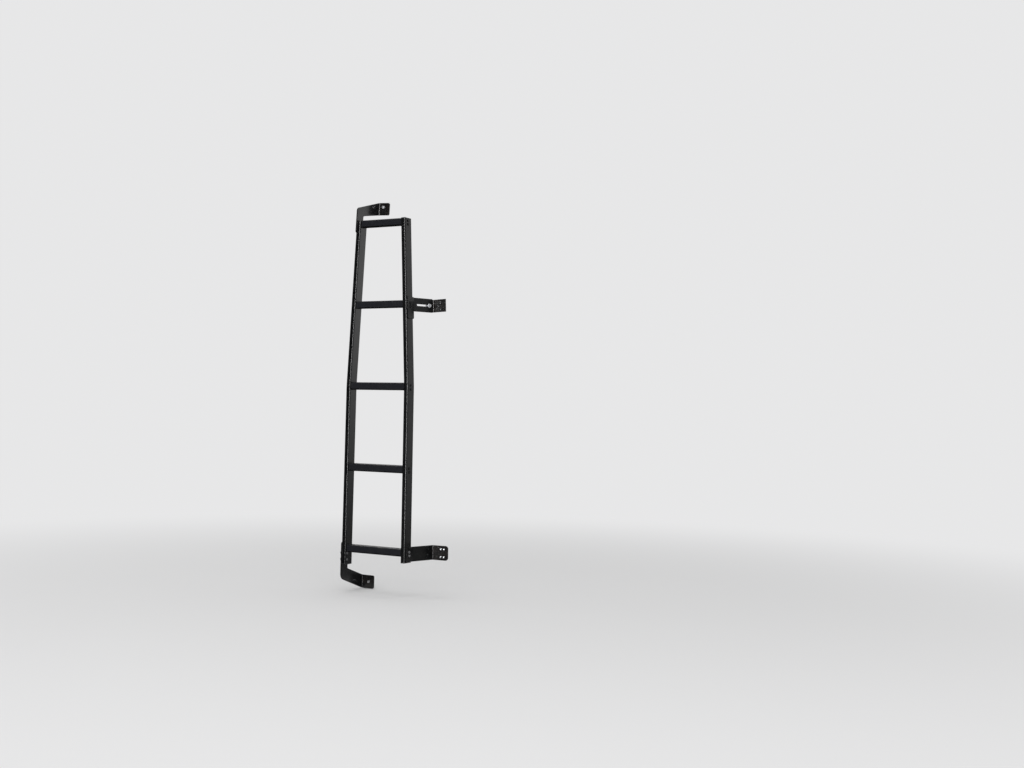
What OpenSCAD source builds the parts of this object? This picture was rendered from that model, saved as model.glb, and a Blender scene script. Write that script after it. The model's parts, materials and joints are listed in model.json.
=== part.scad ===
// Bolt-on ladder, held off an upright panel by two straps on its left and
// two hinge brackets on its right, in millimetres. Seen by someone who is
// about to climb it, +X is right, +Y points at the panel and +Z is up.
// The pieces are drawn in the ladder's own frame, with X = 0 midway between
// the stiles, Y = 0 on their near faces and Z = 0 at the middle rung, where
// both stiles kink. placed() then moves them so that the origin lies on the
// panel face of the lower hinge bracket, at the middle of its four holes.

/* [Ladder outline] */
// Width over both stiles at their top ends
top_width = 258; // [230:2:300]
// Width over both stiles at the kink
kink_width = 329; // [310:2:380]
// Width over both stiles at their bottom ends
bottom_width = 337; // [310:2:390]
// Distance from one rung to the next
rung_pitch = 360; // [300:5:400]
// Height of the stile tubes above the middle of the top rung
top_reach = 12; // [11:1:60]
// Length of the right tube below the middle of the bottom rung
right_reach = 39; // [38:1:80]
// Length of the left tube below the middle of the bottom rung
left_reach = 68; // [68:1:100]
// Distance from the stiles' near faces to the panel
panel_y = 170; // [140:2:220]

/* [Stile tubes] */
// Width of the tube, across the ladder
stile_w = 22; // [20:1:35]
// Depth of the tube, towards the panel
stile_d = 52; // [46:1:60]
// Wall of the tube
stile_wall = 2; // [1.5:0.25:3]
// Outer corner radius of the tube
stile_r = 5; // [2.5:0.25:6]
// Thickness of the end caps' lids
cap_lid = 4.5; // [3:0.5:8]
// Length of the end caps' plugs inside the tube
cap_plug = 12; // [8:1:14]
// Chamfer round the lids
cap_chamfer = 1.5; // [0.5:0.25:2]

/* [Rungs] */
// Height of a rung
rung_h = 33; // [33:1:42]
// Depth of a rung
rung_d = 34; // [30:1:38]
// Corner radius of a rung
rung_r = 6; // [4:0.5:7]
// Tilt of the treads, which sets them level when the panel leans forwards
rung_tilt = 4; // [0:1:6]
// Wall of the rung extrusion
rung_wall = 2.2; // [1.8:0.1:3]
// Number of grooves in the tread
groove_count = 6; // [3:1:7]
// Width of a tread groove
groove_w = 1.6; // [1:0.1:2]
// Depth of a tread groove
groove_depth = 1.1; // [0.5:0.1:1.4]

/* [Rung screws] */
// Shank diameter
screw_d = 6; // [5:0.5:6.5]
// Distance between the two screws of a rung end
screw_spacing = 16; // [15:0.5:17]
// Drop of the screw pair below the middle of the rung
screw_drop = 4; // [0:0.5:4]
// Diameter of the round head
screw_head_d = 11; // [9:0.5:12]
// Height of the round head
screw_head_h = 3.4; // [3:0.1:5]

/* [Left brackets] */
// Thickness of the flat straps
strap_t = 5; // [3:0.5:8]
// Rise of the top strap above the tube before it turns to the panel
top_rise = 29; // [10:1:60]
// Height of the top leg where it leaves the stile
top_leg_h = 44; // [36:1:60]
// Slope of the top leg's lower edge, upwards
top_slope = 10; // [4:0.5:25]
// Drop of the bottom strap below the tube before it turns to the panel
bottom_drop = 26; // [10:1:60]
// Height of the bottom leg where it leaves the stile
bottom_leg_h = 58; // [40:1:66]
// Slope of the bottom leg's upper edge, downwards
bottom_slope = 19; // [4:0.5:25]
// Length of the top tab that lies on the panel, from the strap's outer face
top_tab_len = 62; // [50:1:80]
// Length of the bottom tab that lies on the panel, from the strap's outer face
bottom_tab_len = 69; // [60:1:80]
// Thickness of the rubber pad behind the tab
pad_t = 2; // [1:0.5:4]
// Diameter of the two bolts that hold the bottom strap below the last rung
strap_bolt_d = 6; // [5:0.5:6]
// Distance between those two bolts
strap_bolt_spacing = 28; // [24:1:30]

/* [Hinge brackets] */
// Thickness of the hinge bracket plates
hinge_t = 5; // [3:0.5:6]
// Height of the lower bracket
lower_h = 64; // [56:1:80]
// Height of the upper arm
upper_h = 60; // [50:1:72]
// Height of the plate that holds the upper arm on the stile
stile_plate_h = 96; // [80:1:120]
// Outward splay of the arms
splay = 16; // [8:1:20]
// Reach of the lower end plate beyond the stile's outer face
lower_reach = 115; // [100:1:130]
// Reach of the upper end plate beyond the stile's outer face
upper_reach = 96; // [90:1:110]
// Width of the adjusting slot in the upper arm
slot_w = 12; // [10.5:0.5:14]
// Length of the adjusting slot, end to end
slot_len = 78; // [50:1:80]

/* [Mounting holes] */
// Diameter of the holes in the hinge plates
hinge_hole_d = 9; // [7:0.5:11]
// Distance across between the lower plate's holes
lower_hole_across = 16; // [14:1:24]
// Distance up between the lower plate's holes
lower_hole_up = 34; // [28:1:40]
// Distance from the end of a hinge plate to the middle of its holes
hole_inset = 27; // [22:1:30]
// Distance up between the upper plate's two holes
upper_hole_up = 29; // [24:1:32]
// Height of the top tab's hole above the middle of the tab
top_hole_lift = 9; // [0:1:12]
// Distance from the strap's outer face to the top tab's hole
top_hole_in = 30; // [26:1:40]
// Distance from the strap's outer face to the bottom tab's hole
bottom_hole_in = 42; // [30:1:48]
// Diameter of the hole in each left tab
tab_hole_d = 9; // [7:0.5:11]

/* [Hidden] */
$fn = 48;

powder_black = "#1b1c1e";
plastic_black = "#151515";
rubber_black = "#0e0e0f";
zinc_grey = "#8d9095";

// Rungs, numbered from the top
rung_count = 5;
middle_rung = 2;
top_z = middle_rung * rung_pitch + top_reach;
right_bottom_z = -middle_rung * rung_pitch - right_reach;
left_bottom_z = -middle_rung * rung_pitch - left_reach;
function rung_z(i) = (middle_rung - i) * rung_pitch;

// Lean of the stiles above and below the kink
upper_lean = atan((kink_width - top_width) / 2 / top_z);
lower_lean = atan((bottom_width - kink_width) / 2 / -right_bottom_z);
mitre = (upper_lean + lower_lean) / 2;
upper_len = top_z / cos(upper_lean);
right_len = -right_bottom_z / cos(lower_lean);
left_len = -left_bottom_z / cos(lower_lean);

// Clearances
seat_gap = 0.25;
cap_gap = 0.2;
cap_slot = 16;
hole_gap = 0.25;
nut_gap = 0.1;
head_gap = 0.05;
over = 1;
far = 400;

// Screws in the rungs: their bite past the stile, the ports and web round
// them, and the hexagon sockets
screw_bite = 30;
port_wall = 2.2;
web_t = 2.4;
hex_d = 4.6;
hex_depth = 2;

// Bent plates
bend_r = 6;
end_r = 13;
corner_r = 8;
plate_inset = 4;
strap_inset = 3;
pad_margin = 4;
upper_drop = 1;
lower_drop = 7;
top_strap_hold = 38;
bottom_strap_hold = 26;
top_flare = 6;
bottom_flare = 0.5;
top_heel_r = 16;
bottom_heel_r = 30;
strap_bolt_y = 11;
strap_bolt_drop = 22;
strap_nut_h = 5;
strap_nut_af = 10;
plate_above = 31;

// Slot and its bolt
slot_bolt_d = 8;
slot_head_h = 5.3;
slot_washer_d = 18;
slot_washer_t = 1.6;
slot_nut_af = 13;
slot_nut_h = 6.5;
slot_start = 15;
plate_h = 56;
plate_end_land = 8;

// Half the ladder's width over the stiles at a height
function half_width(z) = z > 0
    ? kink_width / 2 - z * tan(upper_lean)
    : kink_width / 2 - z * tan(lower_lean);

// Plan of a hinge bracket, on the line of its panel-side face. The first
// corner is just past the stile, the second where the end plate begins.
bend_outer = bend_r + hinge_t;
corner_1 = bend_outer * tan(splay / 2);
corner_2 = bend_outer * tan((90 - splay) / 2);
arm_y = stile_d + over + corner_1;
arm_run = (panel_y - arm_y) / cos(splay);
arm_straight = arm_run - corner_1 - corner_2;
plate_x = (panel_y - arm_y) * tan(splay);

lower_z = rung_z(4) - lower_drop;
upper_z = rung_z(1) - upper_drop;
lower_mid_x = half_width(lower_z) + lower_reach - hole_inset;
upper_mid_x = half_width(upper_z) + upper_reach - hole_inset;

// Frame helpers
module placed() {
    translate([-lower_mid_x, -panel_y, -lower_z]) children();
}

module left_side() {
    mirror([1, 0, 0]) children();
}

// Local frame of the upper or lower length of the right stile: X = 0 is the
// tube's outer face, Z runs along the tube from the kink.
module upper_frame() {
    translate([kink_width / 2, 0, 0]) rotate([0, -upper_lean, 0]) children();
}

module lower_frame() {
    translate([kink_width / 2, 0, 0]) rotate([0, -lower_lean, 0]) children();
}

// A flat shape drawn in depth and height, made a solid along X
module along_x(length) {
    rotate([90, 0, 90]) linear_extrude(height = length) children();
}

// A flat shape drawn across and up, made a solid along Y
module along_y(length) {
    translate([0, length, 0]) rotate([90, 0, 0]) linear_extrude(height = length) children();
}

module rounded_rect(size, r) {
    translate([r, 0]) square([size.x - 2 * r, size.y]);
    translate([0, r]) square([size.x, size.y - 2 * r]);
    for (x = [r, size.x - r], y = [r, size.y - r]) translate([x, y]) circle(r);
}

// Outline with rounded corners. Each entry is [x, y, radius].
function unit(v) = v / norm(v);
function corner_arc(a, p, b, r, steps) =
    let (u = unit(a - p), v = unit(b - p),
        half = acos(u * v) / 2,
        centre = p + unit(u + v) * r / sin(half),
        from = p + u * r / tan(half) - centre,
        to = p + v * r / tan(half) - centre,
        start = atan2(from.y, from.x),
        sweep = ((atan2(to.y, to.x) - start + 540) % 360) - 180)
    [for (k = [0:steps]) centre + r * [cos(start + sweep * k / steps), sin(start + sweep * k / steps)]];
function flat_point(c) = [c.x, c.y];
function rounded_outline(corners, steps = 8) =
    let (n = len(corners))
    [for (i = [0:n - 1]) each (corners[i][2] == 0
        ? [flat_point(corners[i])]
        : corner_arc(flat_point(corners[(i + n - 1) % n]), flat_point(corners[i]),
            flat_point(corners[(i + 1) % n]), corners[i][2], steps))];

// Plan of a bent strip. Each step is [straight length, turn after it]; the
// strip lies on the left of its base line, and a positive turn is to the left.
// An edge is the line at a distance d from the base line.
bend_steps = 8;
function heading(h) = [cos(h), sin(h)];
function leftward(h) = [-sin(h), cos(h)];
function strip_edge(steps, t, r, d, p = [0, 0], h = 0, i = 0) =
    let (turn = steps[i][1], way = sign(turn),
        base_r = turn > 0 ? r + t : r,
        edge_r = turn > 0 ? r + t - d : r + d,
        q = p + steps[i][0] * heading(h),
        centre = q + way * base_r * leftward(h))
    concat(i == 0 ? [p + d * leftward(h)] : [],
        i == len(steps) - 1 ? [q + d * leftward(h)] : concat(
            [for (k = [0:bend_steps]) centre - way * edge_r * leftward(h + turn * k / bend_steps)],
            strip_edge(steps, t, r, d, centre - way * base_r * leftward(h + turn), h + turn, i + 1)));
function backwards(list) = [for (i = [len(list) - 1:-1:0]) list[i]];

module bent_strip(steps, t, r) {
    polygon(concat(strip_edge(steps, t, r, 0), backwards(strip_edge(steps, t, r, t))));
}

// Plan view with its base line going towards the panel: the strip's first
// length lies on the outer side of X = 0.
module plan_view() {
    mirror([1, -1, 0]) children();
}

// Stiles: each is two lengths of tube, cut at a mitre and welded together
// at the middle rung
module tube_section() {
    wall = [stile_wall, stile_wall];
    difference() {
        translate([-stile_w, 0]) rounded_rect([stile_w, stile_d], stile_r);
        translate([-stile_w, 0] + wall)
            rounded_rect([stile_w, stile_d] - 2 * wall, stile_r - stile_wall);
    }
}

// The half of space above or below the mitre at the middle rung
module mitre_half(up) {
    translate([kink_width / 2, 0, 0]) rotate([0, -mitre, 0])
        translate([-far / 2, -over, up ? 0 : -5 * far])
            cube([far, stile_d + 2 * over, 5 * far]);
}

// A rung's own frame, at the middle of its section and tilted with its tread
module rung_frame(i) {
    translate([0, stile_d / 2, rung_z(i)]) rotate([rung_tilt, 0, 0]) children();
}

// Two holes for the screws of one rung end, straight through both walls
module screw_pair(i, d) {
    rung_frame(i) for (side = [-1, 1])
        translate([0, 0, side * screw_spacing / 2 - screw_drop])
            rotate([0, 90, 0]) cylinder(h = kink_width, d = d);
}

module upper_tube() {
    difference() {
        intersection() {
            upper_frame() translate([0, 0, -stile_w])
                linear_extrude(height = upper_len + stile_w) tube_section();
            mitre_half(true);
        }
        for (i = [0:middle_rung]) screw_pair(i, screw_d + 2 * hole_gap);
    }
}

module lower_tube(length) {
    difference() {
        intersection() {
            lower_frame() translate([0, 0, -length])
                linear_extrude(height = length + stile_w) tube_section();
            mitre_half(false);
        }
        for (i = [middle_rung:rung_count - 1]) screw_pair(i, screw_d + 2 * hole_gap);
    }
}

module left_upper_tube() {
    color(powder_black) placed() left_side() upper_tube();
}

module left_lower_tube() {
    color(powder_black) placed() left_side() difference() {
        lower_tube(left_len);
        strap_bolt_holes();
    }
}

module right_upper_tube() {
    color(powder_black) placed() upper_tube();
}

module right_lower_tube() {
    color(powder_black) placed() lower_tube(right_len);
}

// End cap: a lid with eased edges near and far, and two legs inside the
// tube that leave room between them for the rung screws
module end_cap() {
    inset = stile_wall + cap_gap;
    intersection() {
        linear_extrude(height = cap_lid)
            translate([-stile_w, 0]) rounded_rect([stile_w, stile_d], stile_r);
        translate([-stile_w - over, 0, 0]) along_x(stile_w + 2 * over)
            polygon(rounded_outline([[0, 0, 0], [stile_d, 0, 0],
                [stile_d, cap_lid, cap_lid - over], [0, cap_lid, cap_chamfer]]));
        translate([0, -over, 0]) along_y(stile_d + 2 * over)
            polygon([[-stile_w, -over], [0, -over], [0, cap_lid - cap_chamfer], [-cap_chamfer, cap_lid],
                [-stile_w + cap_chamfer, cap_lid], [-stile_w, cap_lid - cap_chamfer]]);
    }
    difference() {
        translate([-stile_w + inset, inset, -cap_plug]) linear_extrude(height = cap_plug + over)
            rounded_rect([stile_w - 2 * inset, stile_d - 2 * inset], stile_r - inset);
        translate([-stile_w, (stile_d - cap_slot) / 2, -cap_plug - over])
            cube([stile_w, cap_slot, cap_plug + over]);
    }
}

module top_cap() {
    upper_frame() translate([0, 0, upper_len]) end_cap();
}

module bottom_cap(length) {
    lower_frame() translate([0, 0, -length]) mirror([0, 0, 1]) end_cap();
}

module left_top_cap() {
    color(plastic_black) placed() left_side() top_cap();
}

module left_bottom_cap() {
    color(plastic_black) placed() left_side() bottom_cap(left_len);
}

module right_top_cap() {
    color(plastic_black) placed() top_cap();
}

module right_bottom_cap() {
    color(plastic_black) placed() bottom_cap(right_len);
}

// Rungs: a hollow extrusion with a grooved tread, a web and two screw ports
port_low = rung_h / 2 - screw_drop - screw_spacing / 2;
port_d = screw_d + nut_gap;

module rung_section() {
    groove_pitch = (rung_d - 2 * rung_r + groove_w) / groove_count;
    difference() {
        rounded_rect([rung_d, rung_h], rung_r);
        difference() {
            translate([rung_wall, rung_wall])
                rounded_rect([rung_d - 2 * rung_wall, rung_h - 2 * rung_wall - groove_depth],
                    rung_r - rung_wall);
            translate([(rung_d - web_t) / 2, 0]) square([web_t, rung_h]);
            for (k = [0, 1]) translate([rung_d / 2, port_low + k * screw_spacing])
                circle(d = port_d + 2 * port_wall);
        }
        for (k = [0, 1]) translate([rung_d / 2, port_low + k * screw_spacing]) circle(d = port_d);
        for (k = [0:groove_count - 1])
            translate([rung_r + k * groove_pitch, rung_h - groove_depth])
                square([groove_w, groove_depth + over]);
    }
}

// Everything from a stile's inner face outwards, with the rung's end gap
module stile_block() {
    upper_frame() translate([-stile_w - seat_gap, -over, -far])
        cube([far, stile_d + 2 * over, upper_len + 2 * far]);
    lower_frame() translate([-stile_w - seat_gap, -over, -left_len - far])
        cube([far, stile_d + 2 * over, left_len + 2 * far]);
}

module rung(i) {
    difference() {
        rung_frame(i) translate([-kink_width / 2, -rung_d / 2, -rung_h / 2])
            along_x(kink_width) rung_section();
        stile_block();
        left_side() stile_block();
    }
}

module rung_1() {
    color(powder_black) placed() rung(0);
}

module rung_2() {
    color(powder_black) placed() rung(1);
}

module rung_3() {
    color(powder_black) placed() rung(2);
}

module rung_4() {
    color(powder_black) placed() rung(3);
}

module rung_5() {
    color(powder_black) placed() rung(4);
}

// Rung screws: round heads with a hexagon socket, outside the stile or, where
// a bracket is held by the same screws, outside its plate
module rung_screw(i, side, plate) {
    step = side * screw_spacing / 2 - screw_drop;
    z = rung_z(i) + step * cos(rung_tilt);
    lean = z > 0 ? upper_lean : lower_lean;
    face_x = half_width(z) + plate / cos(lean) + screw_head_d / 2 * tan(lean) + head_gap;
    shank = face_x - half_width(z) + stile_w / cos(lean) + screw_bite;
    rung_frame(i) translate([face_x, 0, step]) rotate([0, 90, 0]) {
        difference() {
            cylinder(h = screw_head_h, d = screw_head_d);
            translate([0, 0, screw_head_h - hex_depth]) cylinder(h = hex_depth + over, d = hex_d, $fn = 6);
        }
        translate([0, 0, -shank]) cylinder(h = shank + over, d = screw_d);
    }
}

module rung_screws(plates) {
    for (i = [0:rung_count - 1], side = [-1, 1]) rung_screw(i, side, plates[i]);
}

module left_rung_screws() {
    color(zinc_grey) placed() left_side() rung_screws([strap_t, 0, 0, 0, strap_t]);
}

module right_rung_screws() {
    color(zinc_grey) placed() rung_screws([0, hinge_t, 0, 0, hinge_t]);
}

// Left brackets: a flat strap on the stile's outer face, a leg to the panel
// and a tab bent inwards to lie on it
tab_face_y = panel_y - pad_t;
tab_y = tab_face_y - strap_t;

module strap_plan(tab_len) {
    plan_view() bent_strip([[tab_y - bend_r, -90], [tab_len - strap_t - bend_r, 0]], strap_t, bend_r);
}

// Side view of the strap. way is 1 for the top one, which rises, and -1 for
// the bottom one; slope and flare are those of the leg.
function strap_outline(hold_z, turn_z, leg_h, slope, flare, way, heel) =
    let (turn_y = stile_d - strap_inset,
        run = panel_y - turn_y,
        inner = way * tan(slope),
        outer = way * tan(slope + flare))
    rounded_outline([
        [strap_inset, hold_z, corner_r], [turn_y, hold_z, corner_r],
        [turn_y, turn_z, corner_r],
        [panel_y, turn_z + run * inner, 0],
        [panel_y, turn_z + way * leg_h + run * outer, 0],
        [strap_inset, turn_z + way * leg_h - (stile_d - 2 * strap_inset) * outer, heel]]);

// The tab's two far corners are rounded off
module tab_corners(tab_len, low, high) {
    for (z = [low, high]) {
        way = z == low ? 1 : -1;
        translate([-tab_len + strap_t, tab_y - over, z]) mirror([0, 0, way > 0 ? 0 : 1])
            along_y(strap_t + 2 * over) difference() {
                translate([-over, -over]) square(corner_r + over);
                translate([corner_r, corner_r]) circle(corner_r);
            }
    }
}

// Heights of the leg's two edges where the tab begins
tab_run = tab_y - stile_d + strap_inset;
function inner_edge(turn_z, slope, way) = turn_z + way * tab_run * tan(slope);
function outer_edge(turn_z, leg_h, slope, flare, way) =
    turn_z + way * (leg_h + tab_run * tan(slope + flare));

top_turn_z = upper_len + top_rise;
bottom_turn_z = -left_len - bottom_drop;
top_tab_low = inner_edge(top_turn_z, top_slope, 1);
top_tab_high = outer_edge(top_turn_z, top_leg_h, top_slope, top_flare, 1);
bottom_tab_low = outer_edge(bottom_turn_z, bottom_leg_h, bottom_slope, bottom_flare, -1);
bottom_tab_high = inner_edge(bottom_turn_z, bottom_slope, -1);
top_hole_z = (top_tab_low + top_tab_high) / 2 + top_hole_lift;
bottom_hole_z = (bottom_tab_low + bottom_tab_high) / 2;

// hole is [distance in from the strap's outer face, height]
module strap(outline, tab_len, low, high, hole, base_z, height) {
    difference() {
        intersection() {
            translate([0, 0, base_z]) linear_extrude(height = height) strap_plan(tab_len);
            translate([-far, 0, 0]) along_x(2 * far) polygon(outline);
        }
        tab_corners(tab_len, low, high);
        translate([strap_t - hole[0], tab_y - over, hole[1]]) rotate([-90, 0, 0])
            cylinder(h = strap_t + 2 * over, d = tab_hole_d);
    }
}

module top_left_bracket() {
    hold_z = (rung_z(0) - top_strap_hold) / cos(upper_lean);
    color(powder_black) placed() left_side() difference() {
        upper_frame() strap(
            strap_outline(hold_z, top_turn_z, top_leg_h, top_slope, top_flare, 1, top_heel_r),
            top_tab_len, top_tab_low, top_tab_high, [top_hole_in, top_hole_z], hold_z - over, far);
        screw_pair(0, screw_d + 2 * hole_gap);
    }
}

module bottom_left_bracket() {
    hold_z = (rung_z(4) + bottom_strap_hold) / cos(lower_lean);
    color(powder_black) placed() left_side() difference() {
        lower_frame() strap(
            strap_outline(hold_z, bottom_turn_z, bottom_leg_h, bottom_slope, bottom_flare, -1,
                bottom_heel_r),
            bottom_tab_len, bottom_tab_low, bottom_tab_high, [bottom_hole_in, bottom_hole_z],
            hold_z + over - far, far);
        screw_pair(4, screw_d + 2 * hole_gap);
        strap_bolt_holes();
    }
}

// The two bolts below the last rung that go through the tube and the bottom
// strap: round heads on the tube's inner face, nuts on the strap
module strap_bolt_places() {
    for (k = [0, 1]) {
        z = rung_z(4) - strap_bolt_drop - k * strap_bolt_spacing;
        lower_frame() translate([0, strap_bolt_y, z / cos(lower_lean)]) rotate([0, 90, 0]) children();
    }
}

module strap_bolt_holes() {
    strap_bolt_places() cylinder(h = far / 2, d = strap_bolt_d + 2 * hole_gap, center = true);
}

module bottom_strap_bolts() {
    color(zinc_grey) placed() left_side() strap_bolt_places() {
        difference() {
            translate([0, 0, -stile_w - screw_head_h]) cylinder(h = screw_head_h, d = screw_head_d);
            translate([0, 0, -stile_w - screw_head_h - over])
                cylinder(h = hex_depth + over, d = hex_d, $fn = 6);
        }
        translate([0, 0, strap_t]) cylinder(h = strap_nut_h, d = strap_nut_af / cos(30), $fn = 6);
        translate([0, 0, -stile_w - over])
            cylinder(h = stile_w + strap_t + strap_nut_h + 2 * over, d = strap_bolt_d);
    }
}

// Rubber pad between a tab and the panel, with its own clearance hole
module pad(tab_len, low, high, hole) {
    width = tab_len - strap_t - bend_r - 2 * pad_margin;
    height = high - low - 2 * pad_margin;
    difference() {
        translate([-tab_len + strap_t + pad_margin, tab_face_y, low + pad_margin])
            along_y(pad_t) rounded_rect([width, height], corner_r - pad_margin);
        translate([strap_t - hole[0], tab_face_y - over, hole[1]]) rotate([-90, 0, 0])
            cylinder(h = pad_t + 2 * over, d = tab_hole_d);
    }
}

module top_left_pad() {
    color(rubber_black) placed() left_side() upper_frame()
        pad(top_tab_len, top_tab_low, top_tab_high, [top_hole_in, top_hole_z]);
}

module bottom_left_pad() {
    color(rubber_black) placed() left_side() lower_frame()
        pad(bottom_tab_len, bottom_tab_low, bottom_tab_high, [bottom_hole_in, bottom_hole_z]);
}

// Lower hinge bracket: one flat bar bent twice, from the stile's outer face
// to the end plate that lies on the panel
module lower_plan() {
    plan_view() translate([plate_inset, 0]) bent_strip([
        [arm_y - plate_inset - corner_1, splay],
        [arm_straight, 90 - splay],
        [lower_reach - plate_x - corner_2, 0]], hinge_t, bend_r);
}

module lower_hinge_bracket() {
    side_view = rounded_outline([[plate_inset, -lower_h / 2, corner_r], [far, -lower_h / 2, 0],
        [far, lower_h / 2, 0], [plate_inset, lower_h / 2, corner_r]]);
    front_view = rounded_outline([[-far, -lower_h / 2, 0], [lower_reach, -lower_h / 2, end_r],
        [lower_reach, lower_h / 2, end_r], [-far, lower_h / 2, 0]]);
    color(powder_black) placed() difference() {
        lower_frame() translate([0, 0, lower_z / cos(lower_lean)]) intersection() {
            translate([0, 0, -lower_h]) linear_extrude(height = 2 * lower_h) lower_plan();
            translate([-far, 0, 0]) along_x(2 * far) polygon(side_view);
            along_y(far) polygon(front_view);
        }
        screw_pair(4, screw_d + 2 * hole_gap);
        for (x = [-1, 1], z = [-1, 1])
            translate([lower_mid_x + x * lower_hole_across / 2, panel_y - hinge_t - over,
                lower_z + z * lower_hole_up / 2])
                rotate([-90, 0, 0]) cylinder(h = hinge_t + 2 * over, d = hinge_hole_d);
    }
}

// Upper hinge bracket: an arm with a tall plate on the stile and a slot, and
// a second plate that slides on it and lies on the panel
arm_end = arm_straight - hinge_t;

module upper_arm_plan() {
    plan_view() translate([plate_inset, 0]) bent_strip([
        [arm_y - plate_inset - corner_1, splay], [arm_end, 0]], hinge_t, bend_r);
}

// Frame on the arm's inner face: X points along the arm, Y out of it
module arm_frame() {
    upper_frame() translate([0, arm_y, upper_z / cos(upper_lean)])
        rotate([0, 0, 90 - splay]) mirror([0, 1, 0]) translate([corner_1, 0, 0]) children();
}

// The slot's run along the arm, cut at a width through the arm or the plate
module slot_cut(width) {
    travel = slot_len - slot_w;
    arm_frame() translate([slot_start + slot_w / 2, 0, 0]) rotate([90, 0, 0]) {
        for (x = [0, travel]) translate([x, 0, 0]) cylinder(h = 4 * hinge_t, d = width, center = true);
        translate([travel / 2, 0, 0]) cube([travel, width, 4 * hinge_t], center = true);
    }
}

slot_bolt_x = slot_start + slot_len - slot_w / 2 - over;

module upper_hinge_arm() {
    top = stile_plate_h - plate_above - upper_drop;
    high = plate_above + upper_drop;
    side_view = rounded_outline([
        [plate_inset, -top, corner_r], [stile_d - over, -top, corner_r],
        [stile_d - over, -upper_h / 2, 0], [far, -upper_h / 2, 0],
        [far, upper_h / 2, 0], [stile_d - over, upper_h / 2, 0],
        [stile_d - over, high, 0], [plate_inset, high, corner_r]]);
    color(powder_black) placed() difference() {
        upper_frame() translate([0, 0, upper_z / cos(upper_lean)]) intersection() {
            translate([0, 0, -stile_plate_h]) linear_extrude(height = 2 * stile_plate_h) upper_arm_plan();
            translate([-far, 0, 0]) along_x(2 * far) polygon(side_view);
        }
        slot_cut(slot_w);
        screw_pair(1, screw_d + 2 * hole_gap);
    }
}

// The sliding plate lies on the arm's inner face, so its bend comes sooner.
// Its own slot is only as wide as the bolt.
module upper_hinge_plate() {
    bend_at = arm_straight - hinge_t * tan(splay);
    flat = upper_reach - plate_x + hinge_t / cos(splay) - corner_2;
    color(powder_black) placed() difference() {
        arm_frame() translate([plate_end_land, -hinge_t, -plate_h / 2])
            linear_extrude(height = plate_h)
                bent_strip([[bend_at - plate_end_land, 90 - splay], [flat, 0]], hinge_t, bend_r);
        slot_cut(slot_bolt_d + 2 * hole_gap);
        for (z = [-1, 1])
            translate([upper_mid_x, panel_y - over, upper_z + z * upper_hole_up / 2])
                rotate([-90, 0, 0]) cylinder(h = 4 * hinge_t, d = hinge_hole_d, center = true);
    }
}

module slot_bolt() {
    color(zinc_grey) placed() arm_frame() translate([slot_bolt_x, 0, 0]) rotate([-90, 0, 0]) {
        translate([0, 0, hinge_t]) cylinder(h = slot_washer_t, d = slot_washer_d);
        translate([0, 0, hinge_t + slot_washer_t])
            cylinder(h = slot_head_h, d = slot_nut_af / cos(30), $fn = 6);
        translate([0, 0, -hinge_t - slot_washer_t - slot_nut_h - over])
            cylinder(h = 2 * (hinge_t + slot_washer_t + over) + slot_nut_h, d = slot_bolt_d);
    }
}

// Nut with its washer, on the sliding plate's inner face
module slot_nut() {
    color(zinc_grey) placed() arm_frame() translate([slot_bolt_x, -hinge_t, 0]) rotate([90, 0, 0])
        difference() {
            union() {
                cylinder(h = slot_washer_t, d = slot_washer_d);
                cylinder(h = slot_washer_t + slot_nut_h, d = slot_nut_af / cos(30), $fn = 6);
            }
            translate([0, 0, -over])
                cylinder(h = slot_washer_t + slot_nut_h + 2 * over, d = slot_bolt_d + 2 * nut_gap);
        }
}

left_upper_tube();
left_lower_tube();
right_upper_tube();
right_lower_tube();
left_top_cap();
left_bottom_cap();
right_top_cap();
right_bottom_cap();
rung_1();
rung_2();
rung_3();
rung_4();
rung_5();
left_rung_screws();
right_rung_screws();
top_left_bracket();
bottom_left_bracket();
bottom_strap_bolts();
top_left_pad();
bottom_left_pad();
upper_hinge_arm();
upper_hinge_plate();
slot_bolt();
slot_nut();
lower_hinge_bracket();
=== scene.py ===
import json
import math

import bmesh
import bpy
from mathutils import Matrix, Vector


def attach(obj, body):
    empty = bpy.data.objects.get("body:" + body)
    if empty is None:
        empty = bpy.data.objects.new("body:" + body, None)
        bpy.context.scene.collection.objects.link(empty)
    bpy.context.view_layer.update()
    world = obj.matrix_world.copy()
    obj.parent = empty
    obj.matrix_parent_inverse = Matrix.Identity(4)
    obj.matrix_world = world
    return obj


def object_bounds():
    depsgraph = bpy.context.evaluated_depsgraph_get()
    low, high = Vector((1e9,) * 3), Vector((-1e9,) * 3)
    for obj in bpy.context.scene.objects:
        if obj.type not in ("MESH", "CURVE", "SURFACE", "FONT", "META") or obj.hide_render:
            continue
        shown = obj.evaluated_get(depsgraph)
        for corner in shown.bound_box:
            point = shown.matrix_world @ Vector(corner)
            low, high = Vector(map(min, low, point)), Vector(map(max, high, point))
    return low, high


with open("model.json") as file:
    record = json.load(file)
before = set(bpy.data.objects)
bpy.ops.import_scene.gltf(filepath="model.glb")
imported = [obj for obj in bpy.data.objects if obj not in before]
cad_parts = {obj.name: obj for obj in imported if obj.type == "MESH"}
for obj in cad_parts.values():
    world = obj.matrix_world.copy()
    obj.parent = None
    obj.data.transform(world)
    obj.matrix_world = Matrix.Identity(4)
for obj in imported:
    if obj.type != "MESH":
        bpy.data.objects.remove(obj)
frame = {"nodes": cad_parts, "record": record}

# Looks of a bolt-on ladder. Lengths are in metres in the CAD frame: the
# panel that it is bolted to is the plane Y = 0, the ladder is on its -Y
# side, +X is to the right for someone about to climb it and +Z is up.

cad_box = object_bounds()
middle = (cad_box[0] + cad_box[1]) / 2
floor_level = cad_box[0].z

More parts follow.
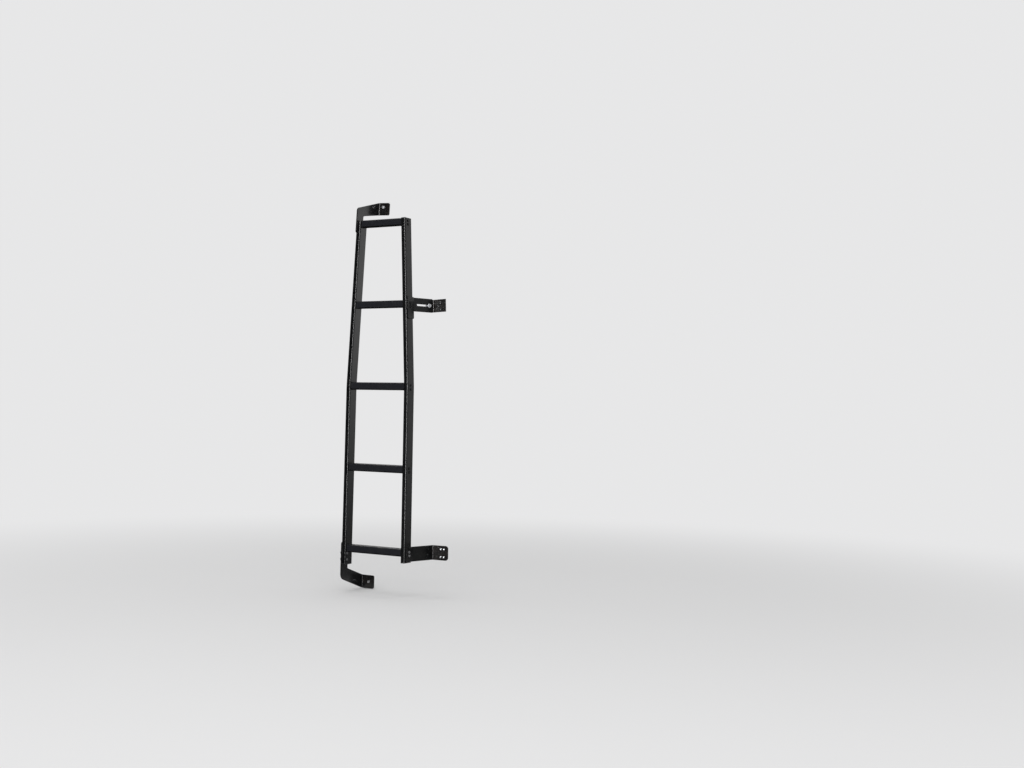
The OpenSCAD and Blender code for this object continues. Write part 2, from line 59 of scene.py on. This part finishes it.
# Camera, fitted to the edges of the stiles and rungs in the photograph
PHOTO_WIDTH = 1024
FOCAL_PIXELS = 1257.0
SENSOR = 36.0
CAMERA_PLACE = (2.9394, -4.6957, 0.6273)
CAMERA_YAW = math.radians(29.077)
CAMERA_PITCH = math.radians(-1.263)
CAMERA_ROLL = math.radians(1.232)

# Finishes, as linear colours
POWDER_BLACK = (0.0040, 0.0043, 0.0047, 1)
# Painted light: the rungs' black is lighter than the stiles', standing in for the light on their
# fronts
TREAD_PAINTED_LIGHT_BLACK = (0.0150, 0.0157, 0.0192, 1)
# Painted reflection: a mottled brownish tone on the plates close to the panel
PAINTED_REFLECTION_BROWN = (0.0135, 0.0112, 0.0098, 1)
# Painted shade: a darker black for the faces that look down
PAINTED_SHADE_BLACK = (0.0015, 0.0015, 0.0015, 1)
SETTLED_DUST = (0.17, 0.155, 0.135, 1)
WORN_COAT = (0.050, 0.050, 0.051, 1)
CAP_BLACK = (0.010, 0.010, 0.011, 1)
RUBBER_BLACK = (0.008, 0.008, 0.008, 1)
ZINC = (0.80, 0.81, 0.83, 1)
ZINC_STAINED = (0.30, 0.27, 0.23, 1)
DULL_ZINC = (0.36, 0.36, 0.37, 1)
TARNISHED_ZINC = (0.20, 0.20, 0.205, 1)
BLACK_ZINC = (0.0045, 0.0045, 0.0048, 1)
VELVET_BLACK = (0.003, 0.003, 0.003, 1)
VELVET_NAP = (0.006, 0.006, 0.006, 1)
BACKDROP = (0.80, 0.80, 0.805, 1)
GROUND = (0.80, 0.80, 0.80, 1)
GROUND_CLOUD = (0.6, 0.6, 0.6, 1)

# Powder coat: depth of its orange peel and of its fine grain, radius to which
# it rounds sharp edges, and width of the band along them where it is thin
PEEL_DEPTH = 0.000012
COAT_GRAIN_DEPTH = 0.000002
EASED_EDGE = 0.0007
THIN_EDGE = 0.0012

# Places along Y between which the painted brownish reflection near the panel comes to its full
# strength
REFLECTION_FROM = -0.0125
REFLECTION_FULL = -0.0085

# Rung screws below this height are zinc plated, and those above it are painted
ZINC_SCREWS_BELOW = 0.1

# Plates and pads, and the clearances of what is fixed to them
PLATE = 0.005
PAD = 0.002
FIXING_GAP = 0.0001
SHANK_CLEARANCE = 0.0005

# Fixings: widths of the domed heads, size across flats of the hexagon heads,
# thickness of the domed heads' flange, and washers and collars
SMALL_DOME = 0.0092
LARGE_DOME = 0.0175
TAB_HEXAGON = 0.0105
FLANGE = 0.0014
TAB_WASHER_THICK = 0.0016
SMALL_WASHER_RADIUS = 0.0074
SMALL_WASHER_THICK = 0.0014
COLLAR_INNER = 0.0060
COLLAR_OUTER = 0.0077
COLLAR_THICK = 0.0018

# Sides of a round body, and the angle from which an edge stays sharp
ROUND = 48
SHARP_EDGE = math.radians(35)

# Millimetres in a metre, for the sizes of the record
MM_PER_M = 1000

# Lights: place from the ladder's middle, width, height and power, and the level
# of the even light from all round
FRONT_LIGHT = (Vector((3.2, -5.9, 0.8)), 6.2, 3.6, 220)
SKY_PANEL = (Vector((-0.5, -0.5, 5.5)), 6.0, 6.0, 140)
AIR_LEVEL = 0.5

# Cards round the ladder: distance and inner edge of the foot, for the near ones
# and for the lit strip further away
NEAR_CARD = (0.65, 0.18)
FAR_STRIP = (3.0, 2.2)

# Height of a card, its lift off the floor, the flat strips it is made of, the
# level of the lit strip, and the height, under the floor, from which the others
# of the lit cards grow lighter
CARD_TALL = 2.6
CARD_LIFT = 0.001
CARD_STRIPS = 12
STRIP_LEVEL = 23
LIGHTER_FROM = -0.3

# Floor: half its side, and the distances between which it fades into the backdrop
GROUND_REACH = 40
FADE_FROM = 0.8
FADE_END = 4.5

# Lean of the upper tubes, and the two screws that hold the slotted arm: where
# their axes meet the arm's outer face
UPPER_LEAN = math.radians(2.777)
ARM_SCREWS = ((-0.10370, -0.14316, 1.07503), (-0.10448, -0.14428, 1.09099))


class Wire:
    """An output of a shader node. Arithmetic on wires adds Math nodes."""

    def __init__(self, finish, socket):
        self.finish = finish
        self.socket = socket

    def math(self, operation, first, second):
        return self.finish.node("ShaderNodeMath", {"operation": operation}, {0: first, 1: second})

    def __add__(self, other):
        return self.math("ADD", self, other)

    def __sub__(self, other):
        return self.math("SUBTRACT", self, other)

    def __rsub__(self, other):
        return self.math("SUBTRACT", other, self)

    def __mul__(self, other):
        return self.math("MULTIPLY", self, other)

    __radd__ = __add__
    __rmul__ = __mul__


class Finish:
    """A procedural material, or the world, and the nodes in it."""

    def __init__(self, name, owner=None):
        self.owner = owner or bpy.data.materials.new(name)
        self.owner.use_nodes = True
        self.nodes = self.owner.node_tree.nodes
        self.links = self.owner.node_tree.links
        self.nodes.clear()

    def node(self, kind, settings=None, sockets=None, out=None):
        """Adds a node and gives one of its outputs, the first in use unless out names it."""
        made = self.nodes.new(kind)
        for name, value in (settings or {}).items():
            setattr(made, name, value)
        for key, value in (sockets or {}).items():
            socket = pick(made.inputs, key)
            if isinstance(value, Wire):
                self.links.new(value.socket, socket)
            else:
                socket.default_value = value
        return Wire(self, pick(made.outputs, out))

    def place(self, stretch=(1, 1, 1)):
        """Position on the object in metres, squeezed or stretched along its axes."""
        here = self.node("ShaderNodeTexCoord", out="Object")
        return self.node("ShaderNodeVectorMath", {"operation": "MULTIPLY"}, {0: here, 1: stretch})

    def part(self, vector, axis):
        """One of the three numbers of a vector."""
        return self.node("ShaderNodeSeparateXYZ", None, {"Vector": vector}, axis)

    def upward(self):
        """1 on a face that looks straight up, 0 on a wall, negative underneath."""
        return self.part(self.node("ShaderNodeNewGeometry", out="Normal"), "Z")

    def noise(self, scale, detail=2.0, stretch=(1, 1, 1), roughness=0.5):
        """Cloudy noise from 0 to 1 with so many waves in a metre."""
        sockets = {
            "Vector": self.place(stretch), "Scale": scale, "Detail": detail, "Roughness": roughness}
        return self.node("ShaderNodeTexNoise", {"noise_dimensions": "3D"}, sockets, "Fac")

    def rise(self, value, low, high):
        """0 up to low, 1 from high on, and smooth between them."""
        return self.node("ShaderNodeMapRange", {"interpolation_type": "SMOOTHSTEP"}, {
            "Value": value, "From Min": low, "From Max": high})

    def mix(self, mask, first, second):
        """The first colour where the mask is 0 and the second where it is 1."""
        sockets = {"Factor": mask, "A": first, "B": second}
        return self.node("ShaderNodeMix", {"data_type": "RGBA"}, sockets)

    def bump(self, height, depth, below=None):
        """A normal for bumps of that depth in metres, on top of another normal."""
        sockets = {"Height": height, "Distance": depth, "Strength": 1.0}
        if below:
            sockets["Normal"] = below
        return self.node("ShaderNodeBump", None, sockets)

    def eased(self, radius):
        """The normal as if sharp edges were rounded to that radius."""
        return self.node("ShaderNodeBevel", {"samples": 4}, {"Radius": radius})

    def edges(self, radius):
        """Mask of a band that wide along sharp edges."""
        flat = self.node("ShaderNodeNewGeometry", out="Normal")
        agree = self.node("ShaderNodeVectorMath", {"operation": "DOT_PRODUCT"}, {
            0: self.eased(radius), 1: flat}, "Value")
        return self.rise(1 - agree, 0.01, 0.2)

    def seen(self):
        """1 for rays that show a backdrop: straight, mirrored or let through."""
        kinds = ("Is Camera Ray", "Is Glossy Ray", "Is Transmission Ray")
        straight, mirrored, through = (self.node("ShaderNodeLightPath", out=kind) for kind in kinds)
        return self.node("ShaderNodeClamp", None, {"Value": straight + mirrored + through})

    def shader(self, **sockets):
        """A Principled shader. Words of a socket's name are joined by _."""
        named = {name.replace("_", " "): value for name, value in sockets.items()}
        return self.node("ShaderNodeBsdfPrincipled", None, named)

    def glow(self, colour):
        """A shader that glows in one colour."""
        return self.node("ShaderNodeEmission", None, {"Color": colour, "Strength": 1.0})

    def both(self, mask, first, second):
        """The first shader where the mask is 0 and the second where it is 1."""
        return self.node("ShaderNodeMixShader", None, {0: mask, 1: first, 2: second})

    def finish(self, shader, kind="ShaderNodeOutputMaterial"):
        """Ends the material, or the world, in that shader."""
        made = self.nodes.new(kind)
        self.links.new(shader.socket, made.inputs["Surface"])
        return self.owner

    def surface(self, **sockets):
        """Ends the material in one Principled shader."""
        return self.finish(self.shader(**sockets))


def pick(sockets, key):
    """A socket in use by its name or number, or the first one in use."""
    if isinstance(key, int):
        return sockets[key]
    return next(s for s in sockets if s.enabled and key in (None, s.name))


def settled_dust(finish, amount):
    """Mask of thin dust on what looks up, with a trace on the walls."""
    cloud = finish.noise(38, 4)
    ledge = finish.rise(finish.upward(), 0.15, 0.95)
    return finish.rise(cloud, 0.38, 0.78) * (ledge * amount + 0.02)


def painted_reflection_near_panel(finish):
    """Mask of a mottled, brownish painted reflection on the plates close to the panel."""
    close = finish.rise(finish.part(finish.place(), "Y"), REFLECTION_FROM, REFLECTION_FULL)
    return close * finish.rise(finish.noise(60, 3), 0.25, 0.75)


def tread_scuffs(finish, wear):
    """Mask of the streaks and scuffs that soles leave along the treads."""
    streaks = finish.rise(finish.noise(9, 5, (1, 26, 26), 0.65), 0.48, 0.74)
    scuffs = finish.rise(finish.noise(70, 5, (1, 3, 3), 0.7), 0.54, 0.68)
    return finish.rise(finish.upward(), 0.75, 1.0) * (streaks * 0.7 + scuffs * 0.5) * wear


def powder_coat(name, black=POWDER_BLACK, dust=0.4, wear=0.0):
    """Glossy black powder coat with a faint orange peel, thin along its edges,
    with painted shade underneath: a darker, dull black on faces that look down."""
    finish = Finish(name)
    dusty = settled_dust(finish, dust)
    thin = finish.edges(THIN_EDGE) * finish.rise(finish.noise(180, 4), 0.42, 0.7)
    # Painted reflection: mottled brown on the plates close to the panel
    painted_reflection = painted_reflection_near_panel(finish)
    coat = finish.mix(painted_reflection, finish.mix(thin * 0.4, black, WORN_COAT), PAINTED_REFLECTION_BROWN)
    colour = finish.mix(dusty, coat, SETTLED_DUST)
    rough = finish.noise(14, 3) * 0.06 + dusty * 0.35 + thin * 0.15 + painted_reflection * 0.02 + 0.2
    if wear:
        rubbed = tread_scuffs(finish, wear)
        colour = finish.mix(rubbed, colour, WORN_COAT)
        rough = rough + rubbed * 0.3
    peel = finish.bump(finish.noise(380, 1), PEEL_DEPTH, finish.eased(EASED_EDGE))
    gloss = finish.shader(
        Base_Color=colour, Roughness=rough, IOR=1.45, Specular_IOR_Level=0.5,
        Normal=finish.bump(finish.noise(2400, 2), COAT_GRAIN_DEPTH, peel))
    # Painted shade: faces that look down get a darker, dull black
    dull = finish.shader(Base_Color=PAINTED_SHADE_BLACK, Roughness=0.9, Specular_IOR_Level=0.05)
    shaded_underneath = finish.rise(finish.upward() * -1, 0.09, 0.32)
    return finish.finish(finish.both(shaded_underneath, gloss, dull))


def moulded_plastic(name):
    """Black polyamide with a fine spark-eroded grain."""
    finish = Finish(name)
    dusty = settled_dust(finish, 0.5)
    grain = finish.noise(1500, 3)
    return finish.surface(
        Base_Color=finish.mix(dusty, CAP_BLACK, SETTLED_DUST), Roughness=grain * 0.15 + 0.42,
        Normal=finish.bump(grain, 0.00005), Specular_IOR_Level=0.4)


def pad_rubber(name):
    """Dull black rubber with a slight bloom."""
    finish = Finish(name)
    bloom = finish.rise(finish.noise(60, 3), 0.45, 0.8)
    return finish.surface(
        Base_Color=finish.mix(bloom * 0.12, RUBBER_BLACK, SETTLED_DUST),
        Roughness=bloom * 0.1 + 0.78, Normal=finish.bump(finish.noise(900, 3), 0.00006),
        Specular_IOR_Level=0.3)


def zinc_plate(name, zinc=ZINC):
    """Zinc plating with a pale bloom, faint dull clouds and a little staining."""
    finish = Finish(name)
    clouds = finish.noise(260, 3)
    stains = finish.rise(finish.noise(150, 5, roughness=0.65), 0.6, 0.78)
    return finish.surface(
        Base_Color=finish.mix(stains * 0.7, zinc, ZINC_STAINED), Metallic=0.72 - stains * 0.3,
        Roughness=clouds * 0.16 + stains * 0.25 + 0.2,
        Normal=finish.bump(finish.noise(1400, 2), 0.00001))


def black_zinc(name):
    """Glossy black zinc on bolts, rubbed bright in small spots."""
    finish = Finish(name)
    spots = finish.rise(finish.noise(520, 4, roughness=0.7), 0.66, 0.78)
    return finish.surface(
        Base_Color=finish.mix(spots * 0.4, BLACK_ZINC, ZINC_STAINED), Metallic=spots * 0.5,
        Roughness=finish.noise(300, 2) * 0.12 + 0.16, Specular_IOR_Level=0.8,
        Normal=finish.bump(finish.noise(1600, 2), 0.000006))


def screw_finish(name):
    """Rung screws: painted black with the ladder, but dull zinc where they hold
    the lowest brackets."""
    finish = Finish(name)
    depth = finish.part(finish.place(), "Z") * -1
    plated = finish.rise(depth, -ZINC_SCREWS_BELOW, -ZINC_SCREWS_BELOW + 0.001)
    spots = finish.rise(finish.noise(420, 4, roughness=0.7), 0.6, 0.74)
    painted = finish.mix(spots * 0.35, POWDER_BLACK, WORN_COAT)
    return finish.surface(
        Base_Color=finish.mix(plated, painted, DULL_ZINC), Metallic=plated * 0.72,
        Roughness=finish.noise(300, 2) * 0.16 + 0.2,
        Normal=finish.bump(finish.noise(1500, 2), 0.00002))


def pale_ground(name):
    """Pale floor that runs out into the backdrop a few metres away."""
    finish = Finish(name)
    colour = finish.mix(finish.noise(1.5, 2) * 0.03, GROUND, GROUND_CLOUD)
    here = finish.place()
    away = finish.node("ShaderNodeVectorMath", {"operation": "LENGTH"}, {0: here}, "Value")
    matt = finish.shader(Base_Color=colour, Roughness=1.0, Specular_IOR_Level=0.0)
    fade = finish.rise(away, FADE_FROM, FADE_END) * finish.seen()
    return finish.finish(finish.both(fade, matt, finish.glow(BACKDROP)))


def matt_black(name):
    """Black velvet with a faint nap."""
    finish = Finish(name)
    return finish.surface(
        Base_Color=finish.mix(finish.noise(300, 2), VELVET_BLACK, VELVET_NAP), Roughness=1.0,
        Specular_IOR_Level=0.0)


def diffuser(name, low, high, top):
    """A lit diffuser that grows from one level under the floor to another, which it
    has from the height top on."""
    finish = Finish(name)
    height = finish.rise(finish.part(finish.place(), "Z"), LIGHTER_FROM, top)
    dim, bright = ((level, level, level, 1) for level in (low, high))
    return finish.finish(finish.glow(finish.mix(height, dim, bright)))


def paint(piece, material):
    """Gives a piece one material, in every slot of its mesh."""
    piece.data.materials.clear()
    piece.data.materials.append(material)


def smooth(piece):
    """Smooth shading, with sharp edges kept."""
    for face in piece.data.polygons:
        face.use_smooth = True
    mesh = bmesh.new()
    mesh.from_mesh(piece.data)
    for edge in mesh.edges:
        edge.smooth = edge.is_manifold and edge.calc_face_angle(0) < SHARP_EDGE
    mesh.to_mesh(piece.data)
    mesh.free()


def turned(mesh, profile, centre, count=ROUND, outline=None, open_ends=False):
    """Adds a body turned about -Y: profile lists (radius, height towards the viewer).
    outline gives the most radius at an angle, for a head with flats."""
    rings = []
    for radius, height in profile:
        ring = []
        for k in range(count):
            angle = 2 * math.pi * k / count
            reach = min(radius, outline(angle)) if outline else radius
            at = Vector((reach * math.cos(angle), -height, reach * math.sin(angle)))
            ring.append(mesh.verts.new(centre + at))
        rings.append(ring)
    for inner, outer in zip(rings, rings[1:]):
        for k in range(count):
            after = (k + 1) % count
            mesh.faces.new((inner[k], inner[after], outer[after], outer[k]))
    if not open_ends:
        mesh.faces.new(rings[0][::-1])
        mesh.faces.new(rings[-1])
    return [vert for ring in rings for vert in ring]


def hexagon(across, turn=0.0):
    """Outline of a hexagon head by its size across the flats."""
    def reach(angle):
        from_flat = (angle + turn) % (math.pi / 3) - math.pi / 6
        return across / 2 / math.cos(from_flat)
    return reach


def in_front(place, distance):
    """The point that far in front of a place, on the side away from the panel."""
    return place + Vector((0, -distance, 0))


def placed(mesh, name, material):
    """Makes the gathered shapes an object of the scene, in one material."""
    data = bpy.data.meshes.new(name)
    mesh.to_mesh(data)
    mesh.free()
    piece = bpy.data.objects.new(name, data)
    bpy.context.scene.collection.objects.link(piece)
    paint(piece, material)
    return piece


def finished(mesh, name, material):
    """Makes the gathered shapes a piece that rides on the ladder."""
    bmesh.ops.recalc_face_normals(mesh, faces=mesh.faces)
    piece = placed(mesh, name, material)
    smooth(piece)
    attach(piece, "root")


def washer(mesh, centre, radius, thick):
    """A plain washer with eased edges, without its hole, which the head hides."""
    edge = thick * 0.25
    turned(mesh, [(radius * 0.3, 0), (radius - edge, 0), (radius, edge), (radius, thick - edge),
                  (radius - edge, thick), (radius * 0.3, thick)], centre)


def hex_bolt(mesh, face, deep, across, shank, turn):
    """Hexagon head on a plain washer, and its shank, which goes so deep behind the
    face to the panel."""
    high = across * 0.42
    washer(mesh, face, across * 0.62, TAB_WASHER_THICK)
    head = in_front(face, TAB_WASHER_THICK)
    corner = across * 0.577
    turned(mesh, [(across * 0.2, 0), (across * 0.47, 0), (across * 0.47, 0.0004), (corner, 0.0006),
                  (corner, high * 0.72), (across * 0.5, high * 0.94), (across * 0.42, high),
                  (across * 0.2, high), (across * 0.16, high * 0.93)],
           head, ROUND * 2, hexagon(across, turn))
    turned(mesh, [(shank, -deep), (shank, TAB_WASHER_THICK / 2)], face)


def dome_bolt(mesh, face, deep, wide, shank):
    """Domed head with a thin flange and a hexagon socket, and its shank, which goes
    so deep behind the face."""
    high = wide * 0.3
    radius = wide / 2
    socket = radius * 0.36
    crown = high * 0.93 + FLANGE
    rise = [math.radians(angle) for angle in (0, 12, 24, 36, 48, 60)]
    dome = [(radius * 0.9 * math.cos(a), FLANGE + high * math.sin(a)) for a in rise]
    turned(mesh, [(radius * 0.4, 0), (radius - 0.0003, 0), (radius, 0.0004),
                  (radius, FLANGE - 0.0003), (radius - 0.0004, FLANGE), *dome,
                  (socket * 1.2, crown)], face)
    floor = crown - 0.0001
    turned(mesh, [(socket * 1.2, floor), (socket, floor - 0.0006), (socket, floor - 0.0024)], face,
           ROUND * 2, hexagon(socket * 1.7))
    turned(mesh, [(shank, -deep), (shank, FLANGE / 2)], face)


def open_ring(mesh, centre, inner, outer, thick):
    """A flat ring with eased edges. Its hole stays open."""
    edge = thick * 0.3
    profile = [(inner, 0), (outer - edge, 0), (outer, edge), (outer, thick - edge),
               (outer - edge, thick), (inner + edge, thick), (inner, thick - edge), (inner, 0)]
    return turned(mesh, profile, centre, open_ends=True)


def mount_places(name):
    """Middle of each hole of one of the ladder's mounts, on the panel, and the
    radius of the shank that fits them."""
    mount = next(m for m in frame["record"]["mounts"] if m["name"] == name)
    centre = Vector(mount["pos_m"])
    dims = mount["dims"]
    across = dims.get("spacing_x_mm", 0) / (2 * MM_PER_M)
    up = dims.get("spacing_y_mm", 0) / (2 * MM_PER_M)
    hole = dims.get("hole_r_mm", dims.get("r_mm")) / MM_PER_M
    sides = (-across, across) if across else (0,)
    levels = (-up, up) if up else (0,)
    places = [Vector((centre.x + x, 0, centre.z + z)) for x in sides for z in levels]
    return places, hole - SHANK_CLEARANCE


def lower_plate_bolts(bright, dark):
    """Four small domed bolts with thin shanks, on dark washers, for there is little
    room between the holes."""
    heads = bmesh.new()
    washers = bmesh.new()
    places, shank = mount_places("lower_hinge_holes")
    for place in places:
        face = in_front(place, PLATE + FIXING_GAP)
        washer(washers, face, SMALL_WASHER_RADIUS, SMALL_WASHER_THICK)
        top = in_front(face, SMALL_WASHER_THICK + FIXING_GAP)
        dome_bolt(heads, top, PLATE, SMALL_DOME, shank / 2)
    finished(washers, "lower_plate_washers", dark)
    finished(heads, "lower_plate_bolts", bright)


def upper_plate_bolts(material):
    """Two large domed bolts, one above the other."""
    mesh = bmesh.new()
    places, shank = mount_places("upper_hinge_holes")
    for place in places:
        face = in_front(place, PLATE + FIXING_GAP)
        dome_bolt(mesh, face, PLATE, LARGE_DOME, shank)
    finished(mesh, "upper_plate_bolts", material)


def tab_bolt(mount, name, material, turn):
    """The hexagon bolt of a tab, with its flats turned by so many radians."""
    mesh = bmesh.new()
    places, shank = mount_places(mount)
    through = PLATE + PAD
    face = in_front(places[0], through + FIXING_GAP)
    hex_bolt(mesh, face, through, TAB_HEXAGON, shank, turn)
    finished(mesh, name, material)


def arm_collars(material):
    """Raised rings round the two screws that hold the slotted arm on its tube."""
    mesh = bmesh.new()
    centre = in_front(Vector(), FIXING_GAP)
    for place in ARM_SCREWS:
        collar = open_ring(mesh, centre, COLLAR_INNER, COLLAR_OUTER, COLLAR_THICK)
        bmesh.ops.rotate(mesh, verts=collar, matrix=Matrix.Rotation(math.pi / 2, 3, "Z"))
        bmesh.ops.rotate(mesh, verts=collar, matrix=Matrix.Rotation(-UPPER_LEAN, 3, "Y"))
        bmesh.ops.translate(mesh, verts=collar, vec=place)
    finished(mesh, "arm_collars", material)


def ground():
    """The floor, level with the ladder's lowest point."""
    reach = GROUND_REACH
    mesh = bmesh.new()
    corners = [(-reach, -reach), (reach, -reach), (reach, reach), (-reach, reach)]
    mesh.faces.new([mesh.verts.new((x, y, floor_level)) for x, y in corners])
    floor = placed(mesh, "ground", pale_ground("pale_ground"))


def softbox(name, offset, wide, tall, power):
    """A soft light at that offset from the ladder's middle, which it faces."""
    data = bpy.data.lights.new(name, "AREA")
    data.shape = "RECTANGLE"
    data.size = wide
    data.size_y = tall
    data.energy = power
    light = bpy.data.objects.new(name, data)
    light.location = middle + offset
    light.rotation_euler = (middle - light.location).to_track_quat("-Z", "Y").to_euler()
    bpy.context.scene.collection.objects.link(light)
    return light


def lights():
    """A broad light in front, which the coat doesn't mirror, and one overhead."""
    front = softbox("front_light", *FRONT_LIGHT)
    front.visible_glossy = False
    softbox("sky_panel", *SKY_PANEL)


def card(name, first, last, material, distance, foot):
    """A tall card that curves round the ladder between two directions, in degrees
    from -Y towards +X. Its foot lies on the floor, and only reflections show it."""
    bottom = floor_level + CARD_LIFT
    rows = [(foot, bottom), (distance, bottom), (distance, floor_level + CARD_TALL)]
    mesh = bmesh.new()
    columns = []
    for k in range(CARD_STRIPS + 1):
        angle = math.radians(first + (last - first) * k / CARD_STRIPS)
        across, out = math.sin(angle), -math.cos(angle)
        columns.append([mesh.verts.new((middle.x + reach * across, middle.y + reach * out, z))
                        for reach, z in rows])
    for one, after in zip(columns, columns[1:]):
        for k in range(len(rows) - 1):
            mesh.faces.new((one[k], after[k], after[k + 1], one[k + 1]))
    piece = placed(mesh, name, material)
    piece.visible_camera = piece.visible_diffuse = piece.visible_shadow = False


def cards():
    """What the glossy coat mirrors: black by the near faces, a slim lit strip by the
    rounded corners, black beside it, and grey by the sides and the arms."""
    black = matt_black("matt_black")
    card("near_face_card", -80, -10, black, *NEAR_CARD)
    card("corner_strip", 9, 20, diffuser("corner_light", STRIP_LEVEL, STRIP_LEVEL, 1.0), *FAR_STRIP)
    card("far_corner_card", 56, 94, black, *NEAR_CARD)
    card("right_side_card", 96, 141, diffuser("right_side_light", 0.14, 0.44, 0.7), *NEAR_CARD)
    card("left_side_card", 143, 175, diffuser("left_side_light", 0.12, 1.2, 1.3), *NEAR_CARD)


def studio_air():
    """Even light from all round, and the backdrop."""
    world = bpy.data.worlds.new("studio_air")
    bpy.context.scene.world = world
    air = Finish("studio_air", world)
    light, backdrop = (
        air.node("ShaderNodeBackground", None, {"Color": BACKDROP, "Strength": strength})
        for strength in (AIR_LEVEL / BACKDROP[0], 1.0))
    air.finish(air.both(air.seen(), light, backdrop), "ShaderNodeOutputWorld")


def camera():
    """The photograph's point of view."""
    data = bpy.data.cameras.new("camera")
    data.sensor_width = SENSOR
    data.lens = FOCAL_PIXELS / PHOTO_WIDTH * SENSOR
    eye = bpy.data.objects.new("camera", data)
    turn = (Matrix.Rotation(CAMERA_YAW, 4, "Z")
            @ Matrix.Rotation(math.pi / 2 - CAMERA_PITCH, 4, "X")
            @ Matrix.Rotation(CAMERA_ROLL, 4, "Z"))
    eye.matrix_world = Matrix.Translation(CAMERA_PLACE) @ turn
    bpy.context.scene.collection.objects.link(eye)
    bpy.context.scene.camera = eye


def dress_frame(zinc):
    """Gives each CAD node its finish."""
    coat = powder_coat("powder_coat")
    # Treads: real scuffs, on a lighter black that is painted light
    tread_painted_light = powder_coat("powder_coat_treads_painted_light", TREAD_PAINTED_LIGHT_BLACK, 0.35, 0.5)
    tarnished = zinc_plate("tarnished_zinc", TARNISHED_ZINC)
    cap = moulded_plastic("cap_plastic")
    rubber = pad_rubber("pad_rubber")
    screws = screw_finish("screw_finish")
    for name, piece in frame["nodes"].items():
        if name.startswith("rung_"):
            paint(piece, tread_painted_light)
        elif name.endswith("_cap"):
            paint(piece, cap)
        elif name.endswith("_pad"):
            paint(piece, rubber)
        elif name.endswith("_screws"):
            paint(piece, screws)
        elif name in ("slot_bolt", "slot_nut"):
            paint(piece, zinc)
        elif name == "bottom_strap_bolts":
            paint(piece, tarnished)
        else:
            paint(piece, coat)


def fixings(zinc, black):
    """Bolts that hold the ladder to the panel, and the collars of the slotted arm."""
    dull = zinc_plate("dull_zinc", DULL_ZINC)
    lower_plate_bolts(zinc, black)
    upper_plate_bolts(black)
    tab_bolt("top_left_tab_hole", "top_tab_bolt", zinc, 0.2)
    tab_bolt("bottom_left_tab_hole", "bottom_tab_bolt", dull, 0.7)
    arm_collars(black)


bpy.context.scene.view_settings.view_transform = "Standard"
camera()
studio_air()
lights()
cards()
ground()
bright_fixings = zinc_plate("zinc_plate")
dark_fixings = black_zinc("black_zinc")
dress_frame(bright_fixings)
fixings(bright_fixings, dark_fixings)
